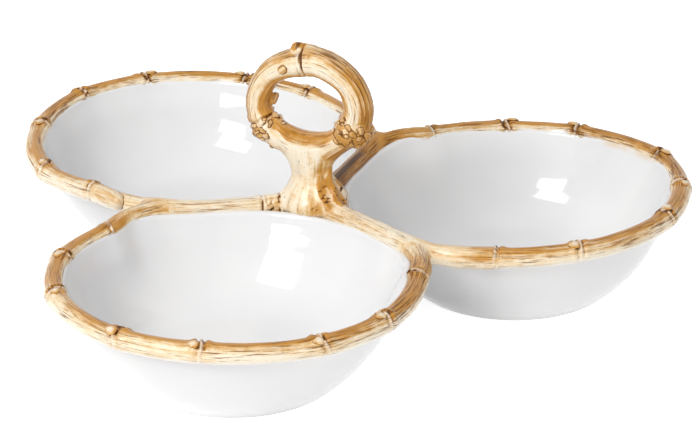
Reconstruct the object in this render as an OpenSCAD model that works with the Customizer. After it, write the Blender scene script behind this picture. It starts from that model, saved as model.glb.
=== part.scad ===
// Divided serving bowl in glazed stoneware: three round bowls around a ring handle, with canes
// shaped like bamboo along the rims and between the bowls.
// The table is at z = 0, the front bowl lies towards -Y, and the middle of the footprint is the origin.
// Lengths are in millimetres and angles in degrees.

/* [Bowls] */
// Radius of the rim canes' centre line around each bowl
rim_r = 85; // [70:1:95]
// Height of the rim canes' centre line above the table
rim_h = 49.5; // [46:0.5:60]
// Half the gap between the walls of two neighbouring bowls
wall_gap = 1.6; // [0.8:0.1:3]
// Thickness of a bowl's wall
wall_t = 3.5; // [3:0.5:5]
// How far a bowl's lip stands out from the top of its wall, to carry the rim canes
lip_out = 4; // [3:0.5:5]
// Depth of the lip below the rim canes' centre line
lip_t = 3; // [2:0.5:4]
// How far a bowl's lip rises above the rim canes' centre line
lip_rise = 0.6; // [0.2:0.1:1.4]
// Thickness of a bowl's floor
floor_t = 5; // [4:0.5:8]
// Radius of the round between a bowl's floor and its wall
floor_round = 30; // [15:1:40]
// Outer radius of the foot that a bowl stands on
foot_r = 50; // [42:1:56]
// Width of the foot's standing ring
foot_w = 7; // [5:0.5:12]
// Depth of the recess inside the standing ring
foot_recess = 2; // [1:0.5:3]

/* [Canes] */
// Diameter of the rim canes
cane_d = 10.4; // [8.4:0.2:12.4]
// Diameter of the canes between the bowls
divider_d = 10; // [8:0.2:12]
// Diameter of a knot at its middle
knot_d = 12.6; // [11:0.2:15]
// Length of a knot along its cane
knot_len = 4; // [3:0.5:7]
// Angle from a bowl's outward direction at which its rim canes leave for the forks
turn_a = 113; // [107:1:118]
// Knots on the front bowl's rim, as angles from its outward direction
front_knots_a = [-79, -52, -14, 13, 51, 76];
// Knots on the right bowl's rim, as angles from its outward direction
right_knots_a = [-78, -36, -9, 18, 55, 82];
// Knots on the left bowl's rim, as angles from its outward direction
left_knots_a = [-82, -54, -17, 9, 42, 81];
// Diameter of the ball in the middle of a fork
fork_d = 13; // [12.6:0.2:16]
// Radius of the web under a fork
fork_web_r = 9; // [8:0.5:11]
// Distance of that web's middle from the fork's middle, towards the handle
fork_web_in = 8; // [6:0.5:10]
// Depth of that web, from the canes' centre line
fork_web_depth = 6; // [5:0.5:10]
// Length of a fork's arm past its web, where the divider meets it
arm_spare = 1.5; // [1:0.5:4]
// Depth of the webs under the dividers and the hub, from the canes' centre line
web_depth = 12; // [8:1:16]
// Width of the webs under the dividers, before the bowls are cut out of them
web_w = 16; // [12:1:20]
// Distance of the divider's knot from the handle's axis
divider_knot_reach = 26; // [24:1:40]

/* [Handle] */
// Diameter of the round hub between the bowls
hub_d = 35; // [32:0.5:40]
// Depth of the hub's widest place below the rim canes' centre line
hub_sink = 5; // [3:0.5:7]
// Height of the hub's flat top above the rim canes' centre line
hub_rise = 7; // [5:0.5:9]
// Diameter of the stem's ends
stem_d = 24; // [22:0.5:26]
// Diameter of the stem's waist
waist_d = 19.6; // [17:0.2:21]
// Radius of the stem's hollow waist, seen from the side
waist_round = 18; // [14:0.5:24]
// Diameter of the tenon that sits in the hub
tenon_d = 11; // [8:0.5:14]
// Length of the tenon
tenon_len = 8; // [5:0.5:10]
// Radius of the ring's two side canes, along the centre line
ring_r = 23; // [20:0.5:27]
// Distance between the middles of the ring's two side canes
ring_spread = 8.5; // [5:0.5:12]
// Height of the ring's middle above the rim canes' centre line
ring_rise = 51.5; // [46:0.5:56]
// Sideways offset of the ring from the handle's axis
ring_shift = 2.5; // [0:0.5:4]
// Diameter of the ring's left cane
ring_left_d = 12.4; // [10:0.2:14]
// Diameter of the ring's right cane
ring_right_d = 14.8; // [12:0.2:16]
// Diameter of the ring's lower cane
saddle_d = 13.6; // [11:0.2:15]
// Radius of the ring's lower cane, along the centre line
saddle_bend = 37; // [30:1:60]
// Angle of the knot between the left and lower canes, counted from the right
left_knot_a = 223; // [215:1:230]
// Angle of the knot between the right and lower canes, counted from the right
right_knot_a = -28; // [-36:1:-20]
// Diameter of the knot at the top of the ring
top_knot_d = 18.4; // [16.4:0.2:20]
// Diameter of the knot at the left of the ring
left_knot_d = 16; // [15.4:0.2:19]
// Diameter of the swollen knot at the right of the ring
right_knot_d = 19; // [17:0.2:22]
// Share of the lower cane's radius that stands above the stem's top
seat_share = 0.4; // [0.2:0.05:0.6]

/* [Hidden] */
$fn = 180;
overrun = 1;
front_dir = 270;
right_dir = 30;
left_dir = 150;
fork_a = 60;
cane_r = cane_d / 2;
divider_r = divider_d / 2;
hub_r = hub_d / 2;
stem_r = stem_d / 2;
bowl_reach = (rim_r + wall_gap) / sin(fork_a);
axis_y = (bowl_reach - bowl_reach * cos(fork_a)) / 2;
lip_z = rim_h + lip_rise;
wall_r = rim_r - lip_out;
ball_z = (pow(wall_r, 2) + pow(rim_h, 2) - pow(foot_r, 2)) / (2 * rim_h);
ball_r = sqrt(pow(foot_r, 2) + pow(ball_z, 2));
inner_r = ball_r - wall_t;
floor_z = foot_recess + floor_t;
round_z = floor_z + floor_round;
round_x = sqrt(pow(inner_r - floor_round, 2) - pow(ball_z - round_z, 2));
wall_z = ball_z - inner_r * (ball_z - round_z) / (inner_r - floor_round);
knot_half_a = asin(knot_len / 2 / rim_r);
turn_y = rim_r * sin(turn_a);
fork_reach = turn_y / sin(fork_a);
rim_arm = bowl_reach + rim_r * cos(turn_a) - fork_reach * cos(fork_a);
arm_len = fork_web_in + fork_web_r + arm_spare;
hub_top = rim_h + hub_rise;
ring_z = rim_h + ring_rise;
ring_half = ring_spread / 2;
top_a = acos(ring_half / ring_r);
left_knot = [ring_r * cos(left_knot_a) - ring_half, ring_r * sin(left_knot_a)];
right_knot = [ring_r * cos(right_knot_a) + ring_half, ring_r * sin(right_knot_a)];
saddle_span = norm(right_knot - left_knot);
saddle_tilt = atan2(right_knot[1] - left_knot[1], right_knot[0] - left_knot[0]);
saddle_up = sqrt(pow(saddle_bend, 2) - pow(saddle_span / 2, 2));
saddle_mid = (left_knot + right_knot) / 2 + saddle_up * [-sin(saddle_tilt), cos(saddle_tilt)];
saddle_half_a = asin(saddle_span / 2 / saddle_bend);
stem_top = ring_z + saddle_mid[1] - saddle_bend - saddle_d / 2 * seat_share;

// Moves a piece from the handle's axis into the part, turned towards a direction
module at_axis(dir) {
    translate([0, axis_y, 0])
        rotate([0, 0, dir])
            children();
}

// Moves a piece from a bowl's axis into the part, with its outward direction turned to dir
module at_bowl(dir) {
    at_axis(dir)
        translate([bowl_reach, 0, 0])
            children();
}

// Half section of a bowl without its hollow: wall and outstanding lip
module bowl_outline() {
    intersection() {
        translate([0, ball_z])
            circle(r = ball_r);
        square([wall_r, lip_z]);
    }
    translate([wall_r - wall_t, rim_h - lip_t])
        square([lip_out + wall_t, lip_t + lip_rise]);
}

// Half section of a bowl's hollow: flat floor, round and wall
module hollow_outline() {
    translate([0, floor_z])
        square([round_x, round_z - floor_z]);
    intersection() {
        translate([round_x, round_z])
            circle(r = floor_round);
        square([rim_r, round_z]);
    }
    intersection() {
        translate([0, ball_z])
            circle(r = inner_r);
        translate([0, wall_z])
            square([rim_r, lip_z + overrun - wall_z]);
    }
}

// A bowl without its hollow, which the canes, forks, dividers and hub are fitted around
module bowl_body() {
    rotate_extrude()
        bowl_outline();
}

// A bowl with its hollow and the recess in its foot
module bowl() {
    rotate_extrude()
        difference() {
            bowl_outline();
            hollow_outline();
            translate([0, -overrun])
                square([foot_r - foot_w, foot_recess + overrun]);
        }
}

// A length of rim cane or knot between two angles, rebated to sit over the lip
module rim_arc(from_a, to_a, d) {
    rotate([0, 0, from_a])
        rotate_extrude(angle = to_a - from_a)
            difference() {
                translate([rim_r, rim_h])
                    circle(d = d);
                bowl_outline();
            }
}

// Length number i of a rim's canes, between two knots
module rim_cane(dir, knots, i) {
    last = len(knots);
    from_a = i == 0 ? -turn_a : knots[i - 1];
    to_a = i == last ? turn_a : knots[i];
    at_bowl(dir)
        rim_arc(from_a + knot_half_a, to_a - knot_half_a, cane_d);
}

// All knots of a rim, the thicker stops between its canes
module rim_knots(dir, knots) {
    at_bowl(dir)
        for (a = concat(-turn_a, knots, turn_a))
            rim_arc(a - knot_half_a, a + knot_half_a, knot_d);
}

// The two bowls on either side of a divider, in the divider's own direction
module two_bowls() {
    for (side = [-1, 1])
        rotate([0, 0, side * fork_a])
            translate([bowl_reach, 0, 0])
                bowl_body();
}

// The place of the two end knots of the rims that a fork joins, in the divider's own direction
module two_knots() {
    for (side = [-1, 1])
        rotate([0, 0, side * fork_a])
            translate([bowl_reach, 0, 0])
                rotate([0, 0, side < 0 ? turn_a - knot_half_a : -turn_a - knot_half_a])
                    rotate_extrude(angle = 2 * knot_half_a)
                        translate([rim_r - knot_d, rim_h - knot_d])
                            square(2 * knot_d);
}

// Three arms and a web between two bowls
module fork(dir) {
    at_axis(dir)
        difference() {
            translate([fork_reach, 0, rim_h]) {
                sphere(d = fork_d);
                for (side = [-1, 1])
                    rotate([0, 90, side * fork_a])
                        cylinder(r = cane_r, h = rim_arm);
                rotate([0, -90, 0])
                    cylinder(r = divider_r, h = arm_len);
                translate([-fork_web_in, 0, -fork_web_depth])
                    cylinder(r = fork_web_r, h = fork_web_depth);
            }
            two_bowls();
            two_knots();
        }
}

// A cane with a web under it, from the handle's axis to a fork
module divider_body() {
    length = fork_reach - arm_len;
    translate([0, 0, rim_h]) {
        rotate([0, 90, 0])
            cylinder(r = divider_r, h = length);
        translate([0, -web_w / 2, -web_depth])
            cube([length, web_w, web_depth]);
    }
}

// A cane and web that fill the gap between two bowls, from the hub to a fork
module divider(dir) {
    at_axis(dir)
        difference() {
            divider_body();
            two_bowls();
            hub_body();
        }
}

// The hub without the tenon's socket, before the bowls are cut out of it
module hub_body() {
    rotate_extrude() {
        intersection() {
            translate([0, rim_h - hub_sink])
                circle(r = hub_r);
            translate([0, rim_h - hub_sink])
                square([hub_r, hub_sink + hub_rise]);
        }
        translate([0, rim_h - web_depth])
            square([hub_r, web_depth - hub_sink]);
    }
}

// A length of the ring, standing in its plane, around a middle point
module ring_arc(mid, bend, from_a, to_a, d) {
    translate([mid[0] - ring_shift, axis_y, ring_z + mid[1]])
        rotate([90, 0, 0])
            rotate([0, 0, from_a])
                rotate_extrude(angle = to_a - from_a)
                    translate([bend, 0])
                        circle(d = d);
}

// A ball on the ring's centre line
module ring_ball(at, d) {
    translate([at[0] - ring_shift, axis_y, ring_z + at[1]])
        sphere(d = d);
}

// The lower cane before its knots are cut out of it
module saddle_body() {
    below_a = saddle_tilt - 90;
    ring_arc(saddle_mid, saddle_bend, below_a - saddle_half_a, below_a + saddle_half_a, saddle_d);
}

module front_bowl() color("white") at_bowl(front_dir) bowl();
module right_bowl() color("white") at_bowl(right_dir) bowl();
module left_bowl() color("white") at_bowl(left_dir) bowl();

module front_cane_1() color("burlywood") rim_cane(front_dir, front_knots_a, 0);
module front_cane_2() color("tan") rim_cane(front_dir, front_knots_a, 1);
module front_cane_3() color("burlywood") rim_cane(front_dir, front_knots_a, 2);
module front_cane_4() color("tan") rim_cane(front_dir, front_knots_a, 3);
module front_cane_5() color("burlywood") rim_cane(front_dir, front_knots_a, 4);
module front_cane_6() color("tan") rim_cane(front_dir, front_knots_a, 5);
module front_cane_7() color("burlywood") rim_cane(front_dir, front_knots_a, 6);

module right_cane_1() color("burlywood") rim_cane(right_dir, right_knots_a, 0);
module right_cane_2() color("tan") rim_cane(right_dir, right_knots_a, 1);
module right_cane_3() color("burlywood") rim_cane(right_dir, right_knots_a, 2);
module right_cane_4() color("tan") rim_cane(right_dir, right_knots_a, 3);
module right_cane_5() color("burlywood") rim_cane(right_dir, right_knots_a, 4);
module right_cane_6() color("tan") rim_cane(right_dir, right_knots_a, 5);
module right_cane_7() color("burlywood") rim_cane(right_dir, right_knots_a, 6);

module left_cane_1() color("burlywood") rim_cane(left_dir, left_knots_a, 0);
module left_cane_2() color("tan") rim_cane(left_dir, left_knots_a, 1);
module left_cane_3() color("burlywood") rim_cane(left_dir, left_knots_a, 2);
module left_cane_4() color("tan") rim_cane(left_dir, left_knots_a, 3);
module left_cane_5() color("burlywood") rim_cane(left_dir, left_knots_a, 4);
module left_cane_6() color("tan") rim_cane(left_dir, left_knots_a, 5);
module left_cane_7() color("burlywood") rim_cane(left_dir, left_knots_a, 6);

module front_knots() color("peru") rim_knots(front_dir, front_knots_a);
module right_knots() color("peru") rim_knots(right_dir, right_knots_a);
module left_knots() color("peru") rim_knots(left_dir, left_knots_a);

module left_fork() color("wheat") fork(left_dir + fork_a);
module right_fork() color("wheat") fork(right_dir - fork_a);
module back_fork() color("wheat") fork(left_dir - fork_a);

module left_divider() color("tan") divider(left_dir + fork_a);
module right_divider() color("tan") divider(right_dir - fork_a);
module back_divider() color("tan") divider(left_dir - fork_a);

// A band over the left divider
module divider_knot() color("peru")
    at_axis(left_dir + fork_a)
        difference() {
            translate([divider_knot_reach, 0, rim_h])
                rotate([0, 90, 0])
                    cylinder(d = knot_d, h = knot_len, center = true);
            divider_body();
            two_bowls();
            hub_body();
        }

// Domed hub between the three bowls, with a socket for the stem
module hub() color("burlywood")
    at_axis(left_dir)
        difference() {
            hub_body();
            for (dir = [0, 2 * fork_a, -2 * fork_a])
                rotate([0, 0, dir])
                    translate([bowl_reach, 0, 0])
                        bowl_body();
            translate([0, 0, hub_top - tenon_len])
                cylinder(d = tenon_d, h = tenon_len + overrun);
        }

// Waisted stem with a tenon below and a hollow seat for the lower cane on top
module stem() color("burlywood")
    difference() {
        at_axis(0) {
            rotate_extrude()
                difference() {
                    translate([0, hub_top])
                        square([stem_r, stem_top - hub_top]);
                    translate([waist_d / 2 + waist_round, (hub_top + stem_top) / 2])
                        circle(r = waist_round);
                }
            translate([0, 0, hub_top - tenon_len])
                cylinder(d = tenon_d, h = tenon_len + overrun);
        }
        saddle_body();
    }

module ring_saddle() color("tan")
    difference() {
        saddle_body();
        ring_ball(left_knot, left_knot_d);
        ring_ball(right_knot, right_knot_d);
    }

module ring_left_cane() color("burlywood")
    difference() {
        ring_arc([-ring_half, 0], ring_r, top_a, left_knot_a, ring_left_d);
        ring_ball(left_knot, left_knot_d);
        ring_ball([0, ring_r * sin(top_a)], top_knot_d);
    }

module ring_right_cane() color("burlywood")
    difference() {
        ring_arc([ring_half, 0], ring_r, right_knot_a, 180 - top_a, ring_right_d);
        ring_ball(right_knot, right_knot_d);
        ring_ball([0, ring_r * sin(top_a)], top_knot_d);
    }

module ring_top_knot() color("peru") ring_ball([0, ring_r * sin(top_a)], top_knot_d);
module ring_left_knot() color("peru") ring_ball(left_knot, left_knot_d);
module ring_right_knot() color("peru") ring_ball(right_knot, right_knot_d);

front_bowl();
right_bowl();
left_bowl();
front_cane_1();
front_cane_2();
front_cane_3();
front_cane_4();
front_cane_5();
front_cane_6();
front_cane_7();
right_cane_1();
right_cane_2();
right_cane_3();
right_cane_4();
right_cane_5();
right_cane_6();
right_cane_7();
left_cane_1();
left_cane_2();
left_cane_3();
left_cane_4();
left_cane_5();
left_cane_6();
left_cane_7();
front_knots();
right_knots();
left_knots();
left_fork();
right_fork();
back_fork();
left_divider();
right_divider();
back_divider();
divider_knot();
hub();
stem();
ring_saddle();
ring_left_cane();
ring_right_cane();
ring_top_knot();
ring_left_knot();
ring_right_knot();
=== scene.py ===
import math

import bpy
import numpy as np
from mathutils import Matrix


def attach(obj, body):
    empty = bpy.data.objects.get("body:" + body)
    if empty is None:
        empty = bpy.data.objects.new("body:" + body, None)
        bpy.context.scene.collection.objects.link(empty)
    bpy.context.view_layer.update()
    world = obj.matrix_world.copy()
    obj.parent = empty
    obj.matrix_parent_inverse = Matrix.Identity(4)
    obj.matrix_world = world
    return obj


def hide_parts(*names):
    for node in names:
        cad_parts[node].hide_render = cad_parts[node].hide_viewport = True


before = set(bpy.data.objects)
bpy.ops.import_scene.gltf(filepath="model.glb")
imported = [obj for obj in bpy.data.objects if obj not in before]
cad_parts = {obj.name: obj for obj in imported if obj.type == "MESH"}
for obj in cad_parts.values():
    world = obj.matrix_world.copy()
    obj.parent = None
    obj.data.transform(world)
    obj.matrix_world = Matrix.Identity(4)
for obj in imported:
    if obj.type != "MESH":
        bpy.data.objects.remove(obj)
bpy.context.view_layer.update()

# Sizes are in millimetres up to the moment a mesh is made
MM = 0.001

# Plan: how far the bowls' middles lie from the ring's axis, the ways to the forks and how
# far off they are, and the turn from a bowl's way to a fork's
REACH = 100.0
AXIS = np.array([0.0, REACH / 4])
FORKS = {"left": 210.0, "right": 330.0, "back": 90.0}
FORK_REACH = 90.3
FORK_TURN = math.radians(60)

# The middle line of the rim canes round a bowl, and the radii of the canes
RIM_R = 85.0
RIM_H = 49.5
CANE_R = 5.2
DIVIDER_R = 5.0

# A bowl's wall is part of a ball, from the foot's edge to the wall's top under the cane
FOOT_R = 50.0
RECESS_Z = 2.0
WALL_T = 3.5
WALL_TOP_R = RIM_R - 4.0
WALL_MID = (WALL_TOP_R**2 + RIM_H**2 - FOOT_R**2) / (2 * RIM_H)
WALL_R = math.hypot(FOOT_R, WALL_MID)
INNER_R = WALL_R - WALL_T

# A bowl's floor, and the round between floor and wall
FLOOR_Z = 7.0
ROUND_R = 30.0
ROUND_Z = FLOOR_Z + ROUND_R
ROUND_X = math.sqrt((INNER_R - ROUND_R) ** 2 - (WALL_MID - ROUND_Z) ** 2)

# A bowl's lip: its top, and how far its outer edge keeps inside the canes' middle line
LIP_TOP = RIM_H + 1.2
LIP_OUT = 0.5

# How far from a bowl's middle the canes run that hem its inner corner: the fork's arm,
# the divider, and the round of the hub
ARM_LINE = FORK_REACH * math.sin(FORK_TURN)
DIVIDER_LINE = REACH * math.sin(FORK_TURN)
HUB_LINE = REACH - 12.5

# Each bowl: the way it lies from the ring, its knots round the rim, how far the cane
# stands out from a true circle at each knot, how high it lifts there, and how dark
# each length between two knots is stained
BOWLS = {
    "front": {
        "way": 270.0,
        "knots": [-108, -80, -51.5, -14, 13.5, 51.5, 76.5, 110.5],
        "out": [-2.4, 0.3, 0.8, -0.3, -1.6, 1.0, 1.4, 2.0],
        "lift": [-0.8, -0.2, 0.2, 0.1, 0.2, -0.2, -0.5, 0.0],
        "stain": [0.5, 0.5, 0.3, 0.15, 0.4, 0.5, 0.9],
    },
    "right": {
        "way": 30.0,
        "knots": [-105.5, -78, -36, -9, 18, 55, 82, 110.5],
        "out": [0.8, -1.6, -2.2, -0.8, 1.6, -2.0, -4.0, -2.0],
        "lift": [0.2, 0.4, -0.2, 0.0, -0.2, -1.2, -1.5, -1.2],
        "stain": [0.35, 0.4, 0.55, 0.8, 0.45, 0.4, 0.4],
    },
    "left": {
        "way": 150.0,
        "knots": [-113, -82, -54, -17, 9, 42, 81, 107],
        "out": [-1.0, -1.4, -0.8, 1.4, 1.2, -1.4, 0.4, -0.2],
        "lift": [0.1, -0.4, -0.6, -0.2, 0.1, -0.6, -1.2, 0.0],
        "stain": [0.35, 0.4, 0.35, 0.4, 0.5, 0.3, 0.25],
    },
}

# How far the dividers sag, and the heights that the stem and the ring are measured from
DIP = 2.0
STEM_H = RIM_H + 1.2
RING_H = RIM_H + 2.5


# Small tools

def smooth(lo, hi, x):
    """From 0 at lo to 1 at hi, with soft ends; lo may be the larger."""
    t = np.clip((x - lo) / (hi - lo), 0, 1)
    return t * t * (3 - 2 * t)


def hump(x, width):
    """One at zero, falling off to both sides."""
    return np.exp(-((x / width) ** 2))


def soft_min(a, b, k):
    """The smaller of two values, blended where they are within k of each other."""
    h = np.clip(0.5 + 0.5 * (b - a) / k, 0, 1)
    return b + (a - b) * h - k * h * (1 - h)


def ways(angle):
    """Flat unit vectors at angles in degrees."""
    a = np.radians(angle)
    return np.stack([np.cos(a), np.sin(a)], -1)


def ripple(seed, freqs, *coords):
    """A smooth wandering value of about -1 to 1, the sum of a few slanted waves."""
    rng = np.random.default_rng(seed)
    total = 0
    for f in freqs:
        turn = rng.normal(size=len(coords))
        turn /= np.linalg.norm(turn)
        wave = sum(c * t for c, t in zip(coords, turn)) * f
        total = total + np.sin(wave + rng.uniform(0, 6.28))
    return total / len(freqs)


def add(tree, kind, values=None, **settings):
    """A node with its settings, and its inputs given as values or as sockets to link."""
    node = tree.nodes.new(kind)
    for name, value in settings.items():
        setattr(node, name, value)
    for name, value in (values or {}).items():
        if isinstance(value, bpy.types.NodeSocket):
            tree.links.new(value, node.inputs[name])
        else:
            node.inputs[name].default_value = value
    return node


def mesh_object(name, verts_mm, faces, material, attributes=None):
    """A smooth mesh in one finish, with values for its paint kept on its points."""
    mesh = bpy.data.meshes.new(name)
    mesh.from_pydata((np.asarray(verts_mm) * MM).tolist(), [], faces)
    for key, values in (attributes or {}).items():
        store(mesh, key, values)
    mesh.materials.append(material)
    mesh.shade_smooth()
    obj = bpy.data.objects.new(name, mesh)
    bpy.context.scene.collection.objects.link(obj)
    return obj


def store(mesh, key, values):
    values = np.asarray(values, dtype=np.float32)
    kind, field_name = ("FLOAT", "value") if values.ndim == 1 else ("FLOAT_VECTOR", "vector")
    attribute = mesh.attributes.get(key) or mesh.attributes.new(key, kind, "POINT")
    attribute.data.foreach_set(field_name, values.ravel())


def read(mesh, key):
    data = mesh.attributes[key].data
    values = np.empty(len(data), dtype=np.float32)
    data.foreach_get("value", values)
    return values


def node_names(start):
    return [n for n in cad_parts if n.startswith(start)]


# Plan of the bowls and rims

def bowl_middle(bowl):
    return AXIS + REACH * ways(bowl["way"])


def rim_out(bowl, a):
    """How far the rim's line stands out from a true circle at angle a."""
    knots = np.array(bowl["knots"], dtype=float)
    i = np.clip(np.searchsorted(knots, a, "right") - 1, 0, len(knots) - 2)
    t = np.clip((a - knots[i]) / (knots[i + 1] - knots[i]), 0, 1)
    sag = RIM_R * (1 - np.cos(np.radians(knots[i + 1] - knots[i]) / 2)) * 4 * t * (1 - t)
    return np.interp(a, knots, bowl["out"]) - 0.12 * sag


def rim_lift(bowl, a):
    return np.interp(a, bowl["knots"], bowl["lift"])


def rim_line(bowl, a):
    """Points on the middle line of a rim's cane."""
    r = RIM_R + rim_out(bowl, a)
    xy = bowl_middle(bowl) + r[:, None] * ways(bowl["way"] + a)
    return np.column_stack([xy, RIM_H + rim_lift(bowl, a)])


def lip_radius(bowl, a, inset):
    """Plan radius of a bowl's edge, set in from the middle of the canes that hem it."""
    s = np.abs(a)
    ring = RIM_R + rim_out(bowl, a) - inset
    arm = (ARM_LINE - inset) / np.maximum(np.sin(np.radians(s)), 0.3)
    line = (DIVIDER_LINE - inset) / np.maximum(np.cos(np.radians(s - 150)), 0.5)
    corner = soft_min(soft_min(arm, line, 13), HUB_LINE - inset, 5)
    t = smooth(102, 118, s)
    return ring * (1 - t) + corner * t


def inside_edge(points, inset=CANE_R):
    """How far points lie inside the nearest bowl's edge, seen from above."""
    most = np.full(len(points), -1e3)
    for bowl in BOWLS.values():
        rel = points[:, :2] - bowl_middle(bowl)
        a = np.degrees(np.arctan2(rel[:, 1], rel[:, 0])) - bowl["way"]
        a = (a + 180) % 360 - 180
        most = np.maximum(most, lip_radius(bowl, a, inset) - np.hypot(rel[:, 0], rel[:, 1]))
    return most


def from_axis(points):
    """Distance from the ring's axis, seen from above."""
    return np.linalg.norm(np.asarray(points, dtype=float)[..., :2] - AXIS, axis=-1)


def dip(points):
    """How far the canes between the bowls sag below the rims; the right one lies level."""
    far = from_axis(points)
    along = (np.asarray(points, dtype=float)[..., :2] - AXIS) @ ways(FORKS["right"])
    level = smooth(22, 45, far) * smooth(0.6, 0.95, along / np.maximum(far, 1))
    return DIP * smooth(88, 58, far) * (1 - 0.9 * level)


# Finishes

def node_group(kind, name, inputs, outputs):
    """A node tree with named inputs and outputs, and the two nodes that stand for them."""
    group = bpy.data.node_groups.new(name, kind)
    for key, socket_kind, value in inputs:
        socket = group.interface.new_socket(key, in_out="INPUT", socket_type="NodeSocket" + socket_kind)
        if value is not None:
            socket.default_value = value
    for key, socket_kind in outputs:
        group.interface.new_socket(key, in_out="OUTPUT", socket_type="NodeSocket" + socket_kind)
    return group, add(group, "NodeGroupInput"), add(group, "NodeGroupOutput")


def math_node(tree, operation, a, b=0.0):
    return add(tree, "ShaderNodeMath", {0: a, 1: b}, operation=operation).outputs[0]


def times(tree, a, b):
    return math_node(tree, "MULTIPLY", a, b)


def plus(tree, a, b):
    return math_node(tree, "ADD", a, b)


def mix_colour(tree, factor, a, b):
    node = add(tree, "ShaderNodeMix", data_type="RGBA")
    for slot, value in ((0, factor), (6, a), (7, b)):
        if isinstance(value, bpy.types.NodeSocket):
            tree.links.new(value, node.inputs[slot])
        else:
            node.inputs[slot].default_value = value
    return node.outputs[2]


def step_node(tree, value, lo, hi):
    """What smooth does, as a node."""
    node = add(tree, "ShaderNodeMapRange", {0: value, 1: lo, 2: hi}, interpolation_type="SMOOTHSTEP")
    return node.outputs[0]


def glaze_flow_group():
    """Slow waves and fine orange peel where a poured glaze has settled unevenly."""
    group, given, out = node_group(
        "ShaderNodeTree", "glaze flow",
        [("Wave size", "Float", 30.0), ("Wave depth", "Float", 0.1)],
        [("Height", "Float"), ("Pool", "Float")],
    )
    place = add(group, "ShaderNodeTexCoord").outputs["Object"]
    size = given.outputs["Wave size"]
    slow = add(group, "ShaderNodeTexNoise", {"Vector": place, "Scale": size, "Detail": 1.0})
    fine = add(group, "ShaderNodeTexNoise", {"Vector": place, "Scale": 260.0, "Detail": 2.0})
    tall = times(group, slow.outputs["Fac"], given.outputs["Wave depth"])
    low = times(group, fine.outputs["Fac"], 0.01)
    group.links.new(plus(group, tall, low), out.inputs["Height"])
    group.links.new(slow.outputs["Fac"], out.inputs["Pool"])
    return group


def principled(name):
    material = bpy.data.materials.new(name)
    material.use_nodes = True
    return material, material.node_tree, material.node_tree.nodes["Principled BSDF"]


def white_glaze(flow):
    """White glaze with slow waves, and a thin smear of the canes' paint below the lip."""
    material, tree, surface = principled("white glaze")
    waves = add(tree, "ShaderNodeGroup", node_tree=flow)
    waves.inputs["Wave size"].default_value = 22.0
    waves.inputs["Wave depth"].default_value = 0.5
    pool = step_node(tree, waves.outputs["Pool"], 0.35, 0.7)
    colour = mix_colour(tree, pool, (0.85, 0.85, 0.85, 1), (0.81, 0.81, 0.822, 1))
    smear = add(tree, "ShaderNodeAttribute", attribute_name="smear").outputs["Fac"]
    place = add(tree, "ShaderNodeTexCoord").outputs["Object"]
    brush = add(tree, "ShaderNodeTexNoise", {"Vector": place, "Scale": 75.0, "Detail": 3.0}).outputs["Fac"]
    tint = step_node(tree, times(tree, smear, times(tree, brush, 1.6)), 0.45, 1.35)
    colour = mix_colour(tree, tint, colour, (0.80, 0.60, 0.36, 1))
    tree.links.new(colour, surface.inputs["Base Color"])
    gloss = add(tree, "ShaderNodeMapRange", {0: waves.outputs["Pool"], 3: 0.04, 4: 0.1})
    tree.links.new(gloss.outputs[0], surface.inputs["Roughness"])
    height = waves.outputs["Height"]
    bump = add(tree, "ShaderNodeBump", {"Strength": 0.5, "Distance": 0.0006, "Height": height})
    tree.links.new(bump.outputs["Normal"], surface.inputs["Normal"])
    surface.inputs["IOR"].default_value = 1.5
    return material


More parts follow.
